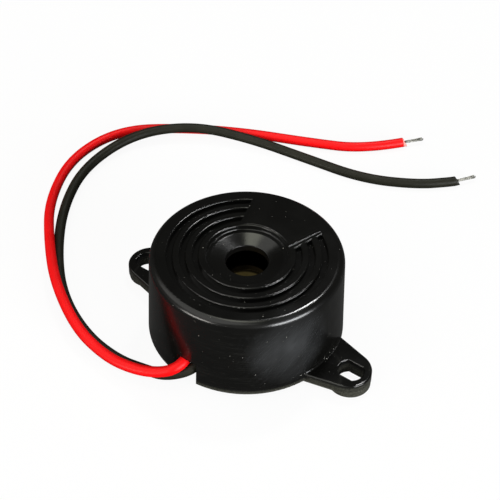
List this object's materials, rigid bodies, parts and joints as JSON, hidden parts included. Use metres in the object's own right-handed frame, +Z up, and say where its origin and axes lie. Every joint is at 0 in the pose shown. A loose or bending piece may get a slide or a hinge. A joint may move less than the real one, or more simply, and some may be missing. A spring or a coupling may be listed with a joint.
{
  "type": "buzzer",
  "caption": "Round black piezo buzzer: a moulded casing with ring grooves, a central sound hole and slotted mounting ears, with red and black leads.",
  "frame": {"origin": "on the casing's axis, at the level of the feet's undersides", "axes": "+Z up along the casing's axis, X through both ears, -Y towards the wire notch"},
  "size_m": [0.0546, 0.0585, 0.0121],
  "materials": {
    "casing": "near-black moulded ABS, satin lid and glossier wall",
    "brass": "rolled brass sheet",
    "piezo_ceramic": "fired ceramic",
    "silver": "fired silver paste",
    "glue": "white silicone glue",
    "board": "green solder mask on glass laminate",
    "ferrite": "sintered ferrite",
    "copper": "enamelled copper wire",
    "transistor": "black moulding with tinned legs",
    "resistors": "black film on ceramic with tinned ends",
    "tinned_wire": "tinned copper wire",
    "solder": "solder",
    "potting": "black epoxy",
    "red_insulation": "red PVC",
    "black_insulation": "black PVC"
  },
  "bodies": {
    "root": {"casing": "casing", "piezo_plate": "brass", "piezo_ceramic": "piezo_ceramic", "drive_electrode": "silver", "feedback_electrode": "silver", "glue_ring": "glue", "circuit_board": "board", "inductor_core": "ferrite", "inductor_winding": "copper", "transistor": "transistor", "resistors": "resistors", "feedback_jumper": "tinned_wire", "drive_jumper": "tinned_wire", "plate_jumper": "tinned_wire", "solder_joints": "solder", "potting": "potting", "red_lead": "red_insulation", "black_lead": "black_insulation", "red_conductor": "tinned_wire", "black_conductor": "tinned_wire"}
  },
  "joints": []
}
